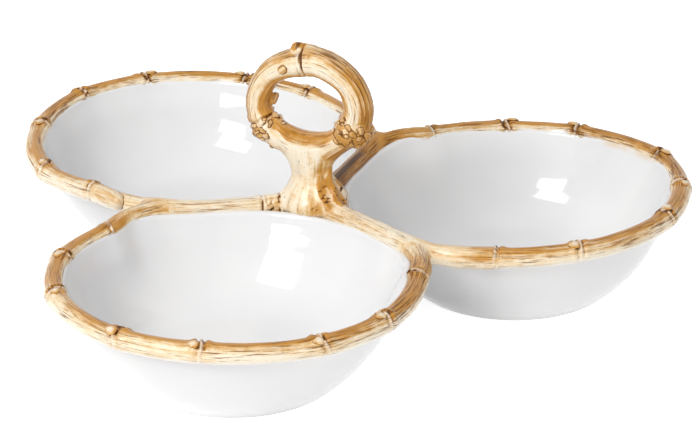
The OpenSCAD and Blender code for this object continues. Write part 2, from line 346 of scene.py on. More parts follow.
def cane_glaze(flow):
    """Painted bamboo under a clear glaze: streaks along each cane, dark cuts at the knots,
    a brushed fade into the white at the bowls' edges."""
    material, tree, surface = principled("cane glaze")
    cane = add(tree, "ShaderNodeAttribute", attribute_name="cane").outputs["Vector"]

    def paint(name):
        return add(tree, "ShaderNodeAttribute", attribute_name=name).outputs["Fac"]

    def streaks(across, along, detail, shift):
        place, pace = (shift, shift * 0.7, shift * 3), (across, across, along)
        spot = add(tree, "ShaderNodeMapping", {"Vector": cane, "Location": place, "Scale": pace})
        noise = {"Vector": spot.outputs[0], "Scale": 1.0, "Detail": detail, "Roughness": 0.6}
        return add(tree, "ShaderNodeTexNoise", noise).outputs["Fac"]

    def less_half(value):
        return math_node(tree, "SUBTRACT", value, 0.5)

    def sum_of(a, b, share=1.0):
        return plus(tree, a, b if share == 1.0 else times(tree, b, share))

    def layer(under, value, lo, hi, strength, colour):
        """Paint laid over what is under it, where a value goes from lo to hi."""
        return mix_colour(tree, times(tree, step_node(tree, value, lo, hi), strength), under, colour)

    # Paints, from the palest to the darkest, and the white of the bowls
    ivory, cream, straw = (0.91, 0.82, 0.66, 1), (0.87, 0.70, 0.46, 1), (0.69, 0.41, 0.13, 1)
    amber, toffee, umber = (0.56, 0.245, 0.022, 1), (0.29, 0.112, 0.011, 1), (0.085, 0.029, 0.003, 1)
    white = (0.84, 0.835, 0.82, 1)

    # Streaks along the canes, patches, dashes and specks
    sure, wash_and_shading = paint("sure"), paint("wash_and_shading")
    broad = streaks(0.45, 0.012, 2.0, 3.0)
    fine = streaks(1.05, 0.025, 3.0, 11.0)
    patch = streaks(0.16, 0.05, 2.0, 23.0)
    dash = streaks(1.6, 0.08, 2.0, 37.0)
    speck = streaks(1.6, 0.9, 2.0, 51.0)
    blotch = streaks(0.3, 0.22, 3.0, 67.0)

    # Layers of paint: washes, streaks, dashes, specks, knots, and the fade into white
    # The wash here also carries the crown's painted shade behind the stem and the painted highlight on the
    # ring's front faces
    tone = sum_of(sum_of(times(tree, broad, 0.9), patch, 0.6), wash_and_shading)
    tone = sum_of(tone, less_half(blotch), 0.7)
    patchy = add(tree, "ShaderNodeMapRange", {0: patch, 1: 0.4, 2: 0.62, 3: 0.35, 4: 1.0})
    striped = times(tree, sure, patchy.outputs[0])
    colour = mix_colour(tree, step_node(tree, tone, 0.52, 1.15), cream, straw)
    colour = layer(colour, tone, 0.72, 0.4, 0.85, ivory)
    colour = layer(colour, fine, 0.56, 0.32, times(tree, striped, 0.7), ivory)
    colour = layer(colour, sum_of(tone, fine, 0.7), 1.1, 1.65, 0.9, amber)
    colour = layer(colour, sum_of(fine, tone, 0.12), 0.62, 0.86, times(tree, striped, 0.65), toffee)
    # The dashes grow thicker in the crown's painted shade and thinner on its painted highlight
    dashed = sum_of(dash, paint("grime_and_shading"), 0.17)
    colour = layer(colour, dashed, 0.60, 0.70, times(tree, sure, 0.7), toffee)
    colour = layer(colour, dashed, 0.69, 0.79, times(tree, sure, 0.8), umber)
    colour = layer(colour, speck, 0.66, 0.70, 0.6, toffee)
    colour = layer(colour, speck, 0.70, 0.77, 0.7, umber)
    colour = mix_colour(tree, times(tree, paint("ridge"), 0.8), colour, ivory)
    cut = sum_of(paint("groove"), fine, 0.4)
    colour = layer(colour, cut, 0.48, 0.8, 0.85, toffee)
    colour = layer(colour, cut, 0.76, 1.05, 0.95, umber)
    brushed = sum_of(paint("fade"), less_half(broad), 0.7)
    colour = layer(colour, brushed, 0.25, 0.75, 1.0, white)
    tree.links.new(colour, surface.inputs["Base Color"])

    # Gloss: a clear coat that is thinner over dark paint, and a fine relief along the streaks
    rough = add(tree, "ShaderNodeMapRange", {0: fine, 3: 0.2, 4: 0.42})
    tree.links.new(rough.outputs[0], surface.inputs["Roughness"])
    waves = add(tree, "ShaderNodeGroup", node_tree=flow)
    waves.inputs["Wave size"].default_value = 90.0
    waves.inputs["Wave depth"].default_value = 0.25
    relief = plus(tree, times(tree, plus(tree, fine, broad), sure), waves.outputs["Height"])
    bump = add(tree, "ShaderNodeBump", {"Strength": 0.7, "Distance": 0.0005, "Height": relief})
    tree.links.new(bump.outputs["Normal"], surface.inputs["Normal"])
    bright = add(tree, "ShaderNodeRGBToBW", {0: colour}).outputs[0]
    clear = step_node(tree, bright, 0.02, 0.45)
    tree.links.new(times(tree, clear, 0.5), surface.inputs["Coat Weight"])
    surface.inputs["Specular IOR Level"].default_value = 0.2
    surface.inputs["Coat Roughness"].default_value = 0.12
    return material


flow = glaze_flow_group()
WHITE = white_glaze(flow)
CANE = cane_glaze(flow)


# Bowls: one closed shell each, from the floor over the lip to the foot and its recess

def bowl_profile():
    """Points from the middle of the floor to the middle of the recess under the foot.
    Each is a radius, a height, and which edge of the lip it leans to."""
    def wall(r, z):
        return math.sqrt(r**2 - (WALL_MID - z) ** 2)

    rows = [(r, FLOOR_Z, "in") for r in np.linspace(6, ROUND_X, 6)]
    end = math.atan2(ROUND_X, WALL_MID - ROUND_Z)
    for a in np.linspace(0, end, 14)[1:]:
        rows.append((ROUND_X + ROUND_R * math.sin(a), ROUND_Z - ROUND_R * math.cos(a), "in"))
    for z in np.linspace(rows[-1][1], LIP_TOP, 28)[1:]:
        rows.append((wall(INNER_R, z) + 2.1 * float(smooth(36, LIP_TOP + 1, z)), z, "in"))
    r, z, _ = rows[-1]
    rows += [(r + 0.9, z + 0.9, "in"), (r + 2.3, z + 1.2, "in"), (r + 3.5, z + 0.4, "in")]
    rows += [(RIM_R - r, RIM_H - z, "out") for r, z in ((1.3, 1.2), (2.7, 3.4), (4.1, 4.6))]
    for z in np.linspace(RIM_H - 5.4, 1.6, 32):
        rows.append((wall(WALL_R, z), z, "out"))
    foot = [(0.7, 0.5), (-0.5, 0.0), (-3.5, 0.0), (-6.2, 0.0), (-7.0, 0.4), (-7.6, 1.6)]
    foot += [(-8.6, RECESS_Z), (-23.0, RECESS_Z), (-37.0, RECESS_Z)]
    return rows + [(FOOT_R + r, z, "out") for r, z in foot]


def make_bowl(name, bowl, seed):
    """The profile turned round the bowl's middle, and drawn out to its canes near the lip."""
    around = 240
    a = np.linspace(-180, 180, around, endpoint=False)
    grow_in = lip_radius(bowl, a, CANE_R) - (RIM_R - CANE_R)
    grow_out = lip_radius(bowl, a, LIP_OUT) - (RIM_R - LIP_OUT)
    spokes = ways(bowl["way"] + a)
    middle = bowl_middle(bowl)
    rings, smear = [], [0.0]
    uneven = 0.5 + 0.5 * ripple(seed + 3, (0.02, 0.037, 0.09), a)
    smeared = smooth(0.45, 0.9, uneven) * (1 - 0.65 * smooth(98, 112, np.abs(a)))
    lifted = rim_lift(bowl, a) * smooth(135, 115, np.abs(a))
    for r, z, edge in bowl_profile():
        near_lip = smooth(12, RIM_H, z) ** 1.4
        grown = r + near_lip * (grow_in if edge == "in" else grow_out)
        hand = ripple(seed, (0.03, 0.05, 0.08), a, z * 2.0 + a * 0) * 0.22 * smooth(8, 20, z)
        xy = middle + (grown + hand)[:, None] * spokes
        sunk = dip(xy) + 2.2 * smooth(98, 75, from_axis(xy)) - lifted
        rings.append(np.column_stack([xy, z - near_lip * sunk]))
        smear += list(smeared * smooth(6.0, 0.0, LIP_TOP - z) * (edge == "in"))
    verts = np.vstack([[[*middle, FLOOR_Z]], *rings, [[*middle, RECESS_Z]]])
    nxt = [(j + 1) % around for j in range(around)]
    last = len(verts) - 1
    faces = [(0, 1 + j, 1 + nxt[j]) for j in range(around)]
    for i in range(len(rings) - 1):
        low, high = 1 + i * around, 1 + (i + 1) * around
        faces += [(low + j, high + j, high + nxt[j], low + nxt[j]) for j in range(around)]
    low = 1 + (len(rings) - 1) * around
    faces += [(last, low + nxt[j], low + j) for j in range(around)]
    shell = mesh_object(name + "_bowl_shell", verts, faces, WHITE, {"smear": np.array(smear + [0.0])})
    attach(shell, "root")
    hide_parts(name + "_bowl")


# Rims: a cane swept round each bowl, with knots, flutes and buds

def knot_relief(s):
    """Across a knot: how the cane swells, and where its two cuts and its light ring lie."""
    ring = hump(s, 0.7)
    cut = np.maximum(hump(s - 1.5, 0.8), 0.8 * hump(s + 1.4, 0.65))
    shoulders = 0.8 * hump(s - 3.3, 1.8) + 0.55 * hump(s + 3.3, 1.8)
    return 0.85 * ring - 0.8 * cut + shoulders + 0.3 * hump(s, 7.5), cut, ring


def named(tree, key, kind="FLOAT"):
    return add(tree, "GeometryNodeInputNamedAttribute", {"Name": key}, data_type=kind).outputs[0]


def marked(tree, geometry, key, value):
    """Geometry with a value kept on its points."""
    values = {"Geometry": geometry, "Name": key, "Value": value}
    kept = add(tree, "GeometryNodeStoreNamedAttribute", values, data_type="FLOAT", domain="POINT")
    return kept.outputs[0]


def end_tree(tree, geometry, given, out):
    """The last nodes of a tree: real geometry, shaded smooth, in the finish it is given."""
    real = add(tree, "GeometryNodeRealizeInstances", {"Geometry": geometry})
    soft = add(tree, "GeometryNodeSetShadeSmooth", {"Geometry": real.outputs[0]})
    values = {"Geometry": soft.outputs[0], "Material": given.outputs["Finish"]}
    painted = add(tree, "GeometryNodeSetMaterial", values)
    tree.links.new(painted.outputs[0], out.inputs[0])


def rim_tree():
    """Sweeps a ring of points along a path mesh, and cuts shallow flutes along the cane."""
    sizes = [("Sides", "Int", 48), ("Flute depth", "Float", 0.0003), ("Flute pace", "Float", 2.2)]
    tree, given, out = node_group(
        "GeometryNodeTree", "bamboo cane",
        [("Path", "Geometry", None), *sizes, ("Seed", "Float", 1.0), ("Finish", "Material", None)],
        [("Cane", "Geometry")],
    )
    line = add(tree, "GeometryNodeMeshToCurve", {"Mesh": given.outputs["Path"]})
    upright = add(tree, "GeometryNodeSetCurveNormal", {"Curve": line.outputs[0]}, mode="Z_UP")
    sides = {"Resolution": given.outputs["Sides"], "Radius": 1.0}
    ring = add(tree, "GeometryNodeCurvePrimitiveCircle", sides).outputs[0]
    profile = marked(tree, ring, "around", add(tree, "GeometryNodeSplineParameter").outputs["Factor"])
    drawn = {"Curve": upright.outputs[0], "Profile Curve": profile}
    sweep = add(tree, "GeometryNodeCurveToMesh", {**drawn, "Scale": named(tree, "thick"), "Fill Caps": True})
    angle, pace = times(tree, named(tree, "around"), 2 * math.pi), given.outputs["Flute pace"]
    x, y = (times(tree, math_node(tree, wave, angle), pace) for wave in ("COSINE", "SINE"))
    z = plus(tree, times(tree, named(tree, "along"), 0.035), times(tree, given.outputs["Seed"], 7.3))
    spot = add(tree, "ShaderNodeCombineXYZ", {0: x, 1: y, 2: z})
    flute = add(tree, "ShaderNodeTexNoise", {"Vector": spot.outputs[0], "Scale": 1.0, "Detail": 3.0})
    depth = times(tree, math_node(tree, "SUBTRACT", flute.outputs["Fac"], 0.5), given.outputs["Flute depth"])
    normal = add(tree, "GeometryNodeInputNormal").outputs[0]
    push = add(tree, "ShaderNodeVectorMath", {0: normal, "Scale": depth}, operation="SCALE")
    carved = add(tree, "GeometryNodeSetPosition", {"Geometry": sweep.outputs[0], "Offset": push.outputs[0]})
    end_tree(tree, carved.outputs[0], given, out)
    return tree


def grown(name, source, tree, values):
    """The mesh that a node tree makes of a source mesh, as a plain object."""
    helper = bpy.data.objects.new(name + "_helper", source)
    bpy.context.scene.collection.objects.link(helper)
    modifier = helper.modifiers.new("grow", "NODES")
    modifier.node_group = tree
    for item in tree.interface.items_tree:
        if item.in_out == "INPUT" and item.name in values:
            modifier[item.identifier] = values[item.name]
    bpy.context.view_layer.update()
    seen = helper.evaluated_get(bpy.context.evaluated_depsgraph_get())
    mesh = bpy.data.meshes.new_from_object(seen)
    mesh.name = name
    bpy.data.objects.remove(helper)
    bpy.data.meshes.remove(source)
    obj = bpy.data.objects.new(name, mesh)
    bpy.context.scene.collection.objects.link(obj)
    return obj


def points_of(mesh):
    """A mesh's points in millimetres."""
    co = np.empty(len(mesh.vertices) * 3, dtype=np.float32)
    mesh.vertices.foreach_get("co", co)
    return co.reshape(-1, 3) / MM


def bud_tree():
    """Sets a small pointed bud on every point of a mesh, lying along its cane."""
    sizes = [("Length", "Float", 0.0048), ("Width", "Float", 0.0034), ("Height", "Float", 0.0016)]
    tree, given, out = node_group(
        "GeometryNodeTree", "bamboo buds",
        [("Places", "Geometry", None), *sizes, ("Point", "Float", 0.45), ("Finish", "Material", None)],
        [("Buds", "Geometry")],
    )
    ball = add(tree, "GeometryNodeMeshUVSphere", {"Segments": 16, "Rings": 10, "Radius": 1.0}).outputs[0]
    place = add(tree, "GeometryNodeInputPosition").outputs[0]
    x, y, z = add(tree, "ShaderNodeSeparateXYZ", {0: place}).outputs
    half_length, half_width = (times(tree, given.outputs[key], 0.5) for key in ("Length", "Width"))
    slim = math_node(tree, "SUBTRACT", 1.0, times(tree, x, given.outputs["Point"]))
    long, wide = times(tree, x, half_length), times(tree, times(tree, y, slim), half_width)
    spot = add(tree, "ShaderNodeCombineXYZ", {0: long, 1: wide, 2: times(tree, z, given.outputs["Height"])})
    for key, lo, hi in (("groove", 0.5, 0.05), ("ridge", 0.6, 1.05)):
        ball = marked(tree, ball, key, step_node(tree, z, lo, hi))
    bud = add(tree, "GeometryNodeSetPosition", {"Geometry": ball, "Position": spot.outputs[0]})
    rising = {"Vector": named(tree, "out", "FLOAT_VECTOR")}
    upright = add(tree, "FunctionNodeAlignRotationToVector", rising, axis="Z")
    lying = {"Rotation": upright.outputs[0], "Vector": named(tree, "lie", "FLOAT_VECTOR")}
    turned = add(tree, "FunctionNodeAlignRotationToVector", lying, axis="X", pivot_axis="Z")
    grow = {"Points": given.outputs["Places"], "Instance": bud.outputs[0]}
    grow |= {"Rotation": turned.outputs[0], "Scale": named(tree, "size")}
    end_tree(tree, add(tree, "GeometryNodeInstanceOnPoints", grow).outputs[0], given, out)
    return tree


def make_buds(name, places, tree):
    """The buds of a rim, at places that bud_places gives."""
    source = bpy.data.meshes.new(name + "_places")
    rows = np.array([[*p, *out, *lie, size] for p, out, lie, size in places])
    source.from_pydata((rows[:, :3] * MM).tolist(), [], [])
    for key, values in (("out", rows[:, 3:6]), ("lie", rows[:, 6:9]), ("size", rows[:, 9])):
        store(source, key, values)
    sizes = {"Length": 0.0058, "Width": 0.0044, "Height": 0.0012, "Point": 0.4, "Finish": CANE}
    buds = grown(name, source, tree, sizes)
    mesh = buds.data
    p = points_of(mesh)
    store(mesh, "cane", p)
    for key, level in (("sure", 0.3), ("wash_and_shading", 0.3), ("grime_and_shading", 0.3), ("fade", 0.0)):
        store(mesh, key, np.full(len(p), level))
    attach(buds, "root")


def rim_knots(knots_at, far, phi, top, seed, rng):
    """How a rim swells, is cut, is ringed and is stained round its knots."""
    inside = smooth(185, 150, phi)
    relief, groove, ridge, stain = (np.zeros(len(far)) for _ in range(4))
    for at in knots_at:
        slant = rng.uniform(-0.28, 0.28) * CANE_R * np.cos(np.radians(phi - rng.uniform(0, 360)))
        wobble = 0.3 * np.sin(np.radians(phi * 3 + rng.uniform(0, 360)))
        s = (far - at) * rng.choice([-1, 1]) - slant - wobble
        swell, cut, ring = knot_relief(s)
        relief += swell * (0.25 + 0.85 * top) * inside
        worn = 0.45 + 0.55 * smooth(-0.3, 0.4, ripple(seed + 17, (0.9, 1.4, 2.2), far, phi * 0.08))
        groove = np.maximum(groove, cut * (0.15 + 0.95 * top) * worn)
        ridge = np.maximum(ridge, ring * (0.35 + 0.5 * top))
        stain = np.maximum(stain, hump(s - 0.8, 4.0) * top)
    return relief, groove, ridge, stain


def bud_places(bowl, line, along, knots_at, rng):
    """Beside each knot but the end ones: a point on the skin, the ways out and along, and a size."""
    places = []
    for at in knots_at[1:-1]:
        side = rng.choice([-1, 1])
        spot = at + side * rng.uniform(2.8, 3.6)
        here = np.array([np.interp(spot, along, line[:, i]) for i in range(3)])
        away = np.append(here[:2] - bowl_middle(bowl), 0)
        away /= np.linalg.norm(away)
        rise = math.radians(rng.uniform(55, 105))
        out = math.cos(rise) * away + math.sin(rise) * np.array([0, 0, 1])
        lie = np.array([-away[1], away[0], 0]) * side
        places.append((here + out * (CANE_R + 0.1), out, lie, rng.uniform(0.9, 1.2)))
    return places


def make_rim(name, bowl, seed, tree):
    """A bowl's rim. Gives the places of the buds on it."""
    # The path, a little past both end knots, and the cane along it
    spare = math.degrees(3.2 / RIM_R)
    a = np.linspace(bowl["knots"][0] - spare, bowl["knots"][-1] + spare, 1000)
    line = rim_line(bowl, a)
    along = np.concatenate([[0], np.cumsum(np.linalg.norm(np.diff(line, axis=0), axis=1))])
    thick = CANE_R - 0.2 + 0.2 * ripple(seed, (0.05, 0.083, 0.12), along)
    thick *= 0.8 + 0.2 * smooth(0, 2.5, np.minimum(along, along[-1] - along))
    path = bpy.data.meshes.new(name + "_rim_path")
    path.from_pydata((line * MM).tolist(), [(i, i + 1) for i in range(len(a) - 1)], [])
    store(path, "thick", thick * MM)
    store(path, "along", along)
    sizes = {"Sides": 48, "Flute depth": 0.0006, "Flute pace": 2.4, "Seed": float(seed), "Finish": CANE}
    rim = grown(name + "_rim", path, tree, sizes)

    # Where each point lies along the cane and round it: 0 degrees is outwards and 90 is up
    mesh = rim.data
    p, far, turn = points_of(mesh), read(mesh, "along"), read(mesh, "around") * 2 * math.pi
    centre = np.column_stack([np.interp(far, along, line[:, i]) for i in range(3)])
    out = centre[:, :2] - bowl_middle(bowl)
    out /= np.linalg.norm(out, axis=1)[:, None]
    off = p - centre
    phi = np.degrees(np.arctan2(off[:, 2], (off[:, :2] * out).sum(1)))
    phi = np.where(phi < -90, phi + 360, phi)
    top = 0.5 + 0.5 * np.cos(np.radians(phi - 105))

    # Knots
    rng = np.random.default_rng(seed + 30)
    knots_at = np.interp(bowl["knots"], a, along)
    relief, groove, ridge, stain = rim_knots(knots_at, far, phi, top, seed, rng)
    p = p + off / np.linalg.norm(off, axis=1)[:, None] * relief[:, None]
    mesh.vertices.foreach_set("co", (p * MM).astype(np.float32).ravel())
    mesh.update()

    # Amber washes, richest along the middle of each length between two knots
    cell = np.clip(np.searchsorted(knots_at, far) - 1, 0, len(knots_at) - 2)
    share = np.clip((far - knots_at[cell]) / np.diff(knots_at)[cell], 0, 1)
    stained = np.array(bowl["stain"])[cell]
    rich = stained * (0.45 + 0.55 * np.sin(math.pi * share ** rng.uniform(0.6, 1.6, len(knots_at))[cell]))
    tones = [(-90, -0.35), (-20, -0.25), (30, -0.1), (66, 0.02)]
    tones += [(98, 0.42), (122, 0.2), (140, -0.12), (165, -0.25)]
    body = np.interp(phi, *zip(*tones))
    rich *= smooth(0, 70, phi) * (1 - 0.85 * smooth(105, 140, phi))
    drift = 0.2 * ripple(seed + 2, (0.04, 0.07, 0.11), far)
    store(mesh, "wash_and_shading", body + rich + drift + 0.3 * stain)

    # Dark cuts at the knots, blots beside them, and broken pencil lines along the cane
    broken = smooth(0.05, 0.5, ripple(seed + 12, (0.06, 0.1, 0.17, 0.31), far))
    again = smooth(0.15, 0.6, ripple(seed + 13, (0.05, 0.12, 0.2, 0.4), far))
    blot = smooth(0.0, 0.45, ripple(seed + 15, (0.9, 1.5, 2.3), far, phi * 0.09)) * smooth(0.35, 0.8, stain)
    groove = np.maximum(groove, 0.9 * blot * smooth(20, 60, phi) * smooth(170, 140, phi))
    pencil = np.maximum(0.85 * broken * hump(phi - 116, 7), 0.7 * again * hump(phi - 70, 5))
    store(mesh, "groove", np.clip(np.maximum(groove, pencil), 0, 1))
    store(mesh, "ridge", np.clip(ridge, 0, 1))

    # The fade into the white inside, grime, and where the streaks run
    inward = -CANE_R * (1 + np.cos(np.radians(phi)))
    brush = 0.5 * ripple(seed + 5, (0.11, 0.23, 0.37), far) + 0.9 * ripple(seed + 6, (0.021, 0.034), far)
    pale = 0.1 + 0.45 * smooth(15, -60, phi)
    store(mesh, "fade", np.maximum(smooth(-1.4, 1.6, inward + brush - 1.2 * stain), pale))
    grime_and_shading = 0.1 + 0.9 * stained + 0.5 * stain - 0.5 * smooth(20, -30, phi)
    grime_and_shading += 0.3 * ripple(seed + 9, (0.05, 0.09), far)
    store(mesh, "grime_and_shading", np.clip(grime_and_shading, 0, 1))
    store(mesh, "cane", np.column_stack([CANE_R * np.cos(turn), CANE_R * np.sin(turn), far + 400 * seed]))
    store(mesh, "sure", np.ones(len(p)))
    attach(rim, "root")
    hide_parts(*node_names(name + "_cane_"), name + "_knots")
    return bud_places(bowl, line, along, knots_at, rng)


rims, bud_kind = rim_tree(), bud_tree()
for number, (name, bowl) in enumerate(BOWLS.items()):
    make_bowl(name, bowl, 40 + number)
    places = make_rim(name, bowl, number + 1, rims)
    make_buds(name + "_buds", places, bud_kind)


# Crown: forks, dividers, hub, stem and ring, modelled as one lump of clay. Limbs are
# fat lines, melted together where they meet, and the skin of the lump is then meshed.

def bend(points, step=3.0):
    """A smooth line through points, by centripetal joints, at an even pace."""
    p = np.asarray(points, dtype=float)
    ends = np.vstack([2 * p[0] - p[1], p, 2 * p[-1] - p[-2]])
    out = []
    for i in range(1, len(ends) - 2):
        a, b, c, d = ends[i - 1 : i + 3]
        n = max(2, int(np.linalg.norm(c[:3] - b[:3]) / step))
        t = np.linspace(0, 1, n, endpoint=False)[:, None]
        square, cube = 2 * a - 5 * b + 4 * c - d, 3 * b - a - 3 * c + d
        out.append(0.5 * (2 * b + (c - a) * t + square * t**2 + cube * t**3))
    return np.vstack([*out, p[-1:]])


def limb(points, knots=(), up=(0, 0, 1), step=3.0, sink=0.0, wave=0.0, seed=0):
    """A cane of clay: rows of x, y, z and radius, with knots at shares of its length."""
    rows = bend(points, step)
    line = rows[:, :3]
    u = np.concatenate([[0], np.cumsum(np.linalg.norm(np.diff(line, axis=0), axis=1))])
    fine = np.linspace(0, u[-1], max(20, int(u[-1] / 0.25)))
    r = np.interp(fine, u, rows[:, 3])
    cut, ring = np.zeros_like(fine), np.zeros_like(fine)
    for share, size, wide in knots:
        swell, new_cut, new_ring = knot_relief((fine - share * u[-1]) / wide)
        r, cut, ring = r + size * swell, np.maximum(cut, new_cut), np.maximum(ring, new_ring)
    if wave:
        r = r + wave * ripple(seed, (0.11, 0.19, 0.31), fine)
    box = (line.min(0) - r.max() - 9, line.max(0) + r.max() + 9)
    shape = {"line": line, "u": u, "fine": fine, "r": r, "cut": cut, "ring": ring}
    return {**shape, "up": np.array(up, dtype=float), "sink": sink, "box": box}


def nearest(part, q):
    """Distance from points to a limb's middle line, and how far along it that is."""
    lift = np.zeros(len(q))
    if part["sink"]:
        lift = np.clip(part["line"][0, 2] - q[:, 2], 0, part["sink"])
    best, at = np.full(len(q), 1e6), np.zeros(len(q))
    line, u = part["line"], part["u"]
    qx, qy, qz = q[:, 0], q[:, 1], q[:, 2] + lift
    for i in range(len(line) - 1):
        a, d = line[i], line[i + 1] - line[i]
        x, y, z = qx - a[0], qy - a[1], qz - a[2]
        t = np.clip((x * d[0] + y * d[1] + z * d[2]) / (d @ d), 0, 1)
        far = (x - t * d[0]) ** 2 + (y - t * d[1]) ** 2 + (z - t * d[2]) ** 2
        closer = far < best
        best = np.where(closer, far, best)
        at = np.where(closer, u[i] + t * (u[i + 1] - u[i]), at)
    return np.sqrt(best), at


def limb_field(part, q):
    """Distance from points to a limb's skin, below zero inside it, and 40 where it is far off."""
    d = np.full(len(q), 40.0)
    near = np.all((q > part["box"][0]) & (q < part["box"][1]), axis=1)
    if near.any():
        far, at = nearest(part, q[near])
        d[near] = far - np.interp(at, part["fine"], part["r"])
    return d


def stem_radius(high):
    """Radius of stem and hub at a height above the rims."""
    return 9.4 + 7.6 * smooth(15.0, -1.0, high)


def stem_field(q):
    """Distance from points to the skin of stem and hub, which lean and are gnarled near the top."""
    high = q[:, 2] - STEM_H
    lean = 1.5 * smooth(2, 14, high)
    x, y = q[:, 0] - AXIS[0] + lean, q[:, 1] - AXIS[1]
    far, turn = np.hypot(x, y), np.arctan2(y, x)
    up = np.clip(high, -3, 27.5)
    t = np.clip((15.0 - up) / 16.0, 0, 1)
    steep = 2.85 * t * (1 - t)
    gnarl = 0.35 * np.sin(5 * turn + 0.12 * up) + 0.25 * np.sin(8 * turn - 0.2 * up + 1)
    taper = 0.8 * np.maximum(-2.2 - high, 0)
    d = (far - stem_radius(up) + taper - gnarl * smooth(7, 13, up)) / np.sqrt(1 + steep**2)
    return np.maximum(d, np.maximum(high - 28.0, -10.5 - high))


def fork_point(way):
    return np.array([*(AXIS + FORK_REACH * ways(way)), RIM_H])


def rim_end(bowl, sign):
    """The last of a rim's line, inside its end knot, and that knot's middle."""
    end = bowl["knots"][0 if sign < 0 else -1]
    return rim_line(bowl, np.array([end - sign * 2.5, end + sign * 1.0]))


def arm_rows(bowl, sign, fork, r):
    """From inside the end knot of a rim, bending at the fork, to its divider."""
    start, knot = rim_end(bowl, sign)
    goal = hub_mid + (fork - hub_mid) * 0.72
    rows = [[*start, r - 0.9]]
    for t in (0, 0.2, 0.4, 0.6, 0.8, 1):
        point = (1 - t) ** 2 * knot + 2 * t * (1 - t) * fork + t**2 * goal
        rows.append([*(point - [0, 0, dip(point)]), r - 3.5 * t**3])
    return rows


def stub_rows(bowl, sign, fork):
    """A short cane end that lies over a fork, a little to its outer side."""
    start, knot = rim_end(bowl, sign)
    out = (fork - hub_mid) / FORK_REACH
    rows = [[*start, 4.2]]
    steps = ((0, 0.4, 0.3, 4.7), (0.3, 1.0, 0.9, 4.8), (0.52, 1.2, 1.1, 4.6), (0.64, 1.2, 1.0, 4.2))
    for t, shift, lift, r in steps:
        rows.append([*(knot + (fork - knot) * t + out * shift + [0, 0, lift]), r])
    return rows


def ring_at(x, high, r):
    """A point of the ring: how far across, how far above RING_H, and its radius."""
    return [x, AXIS[1], RING_H + high, r]


hub_mid = np.array([*AXIS, RIM_H])
left_j, right_j, back_j = (fork_point(w) for w in FORKS.values())


def divider_rows(fork, r=DIVIDER_R, side=0.0):
    """A cane from the hub to a fork, which can bow a little to one side."""
    lead = (fork - hub_mid) / FORK_REACH
    across = np.array([-lead[1], lead[0], 0])
    rows = []
    steps = ((0.1, 0.6, 0.2), (0.3, 1.0, 0.0), (0.55, 0.6, -0.25), (0.72, 0.3, -0.2), (0.9, 0.0, -0.6))
    for share, bow, fat in steps:
        point = hub_mid + lead * FORK_REACH * share + across * side * bow
        rows.append([*(point - [0, 0, dip(point)]), r + fat])
    return rows


stub = limb(stub_rows(BOWLS["left"], 1, left_j), seed=1, wave=0.15)
left_knots = ((0.104, 0.6, 0.9), (0.225, 0.6, 0.8))
spread = [
    limb(divider_rows(left_j, side=-0.6), knots=left_knots, sink=8, wave=0.2, seed=2),
    limb(divider_rows(right_j, r=5.7), sink=8, wave=0.2, seed=3),
    limb(divider_rows(back_j), sink=8, wave=0.25, seed=4),
]
meets = (
    ("front", -1, left_j, 5.5), ("left", 1, left_j, 4.7), ("front", 1, right_j, 5.5),
    ("right", -1, right_j, 5.5), ("right", 1, back_j, 4.9), ("left", -1, back_j, 4.9),
)
for number, (bowl, sign, fork, fat) in enumerate(meets):
    spread.append(limb(arm_rows(BOWLS[bowl], sign, fork, fat), seed=5 + number, wave=0.15))
hoop = limb(
    [
        ring_at(-19.0, 28.5, 6.2), ring_at(-23.8, 32.9, 6.6), ring_at(-28.8, 39.7, 6.2),
        ring_at(-30.2, 48.0, 6.0), ring_at(-25.8, 58.8, 6.2), ring_at(-18.4, 65.7, 6.7),
        ring_at(-6.0, 70.6, 7.4), ring_at(2.0, 71.0, 7.5), ring_at(10.5, 68.3, 7.4),
        ring_at(19.4, 61.4, 7.2), ring_at(23.6, 49.8, 7.4), ring_at(20.6, 38.9, 8.0),
    ],
    knots=((0.100, 0.9, 1.0), (0.535, 0.7, 1.05)), up=(0, 1, 0), wave=0.15, seed=11,
)
saddle = limb(
    [
        ring_at(-25.0, 34.6, 6.4), ring_at(-17.0, 29.3, 6.6), ring_at(-8.5, 26.7, 6.6),
        ring_at(0.0, 26.3, 6.6), ring_at(10.0, 29.5, 6.4), ring_at(19.0, 36.3, 6.8),
    ],
    up=(0, 1, 0), wave=0.15, seed=13,
)
ring_parts = [hoop, saddle]


def knob(x, y, high, r, stretch=(1.2, 1.0, 0.0)):
    """A short fat lump of clay: its place from the axis and above RING_H, its radius and its lie."""
    s = np.array(stretch)
    p = np.array([x, AXIS[1] + y, RING_H + high])
    return limb([[*(p - s), r], [*(p + s), r]], step=9)


burls = [
    knob(20.6, -2.0, 37.6, 7.0), knob(18.5, 2.5, 35.8, 6.8), knob(22.0, 0.5, 38.6, 6.6),
    knob(-25.4, -1.4, 32.0, 4.9), knob(-26.0, 2.0, 32.4, 4.4), knob(-7.2, -0.4, 77.6, 2.6, (1.6, 0.6, -0.3)),
    knob(-22.4, 3.0, 47.5, 1.5, (0.4, 0.6, 1.4)), knob(-21.0, -1, 36.6, 2.6, (1.2, 0.6, 0.8)),
]
# Which of the burls is the bud on top of the ring
CAP = 5


def root_rows(way, twist, top, low, reach, r, seed):
    """A root that winds from the stem down on to the hub and along a divider."""
    rows = []
    for t in np.linspace(0, 1, 6):
        high = top + (low - top) * t**0.8
        turn = way + twist * (1 - t) * math.cos(2.2 * t + seed)
        far = float(stem_radius(max(high - 1.2, 2.0))) - 1.3 + reach * t**2
        low_by = DIP * t + 1.2 * t**3 - 0.5 * math.sin(5 * t + seed)
        rows.append([*(AXIS + far * ways(turn)), RIM_H + high - low_by, r * (1 - 0.6 * t**2)])
    return rows


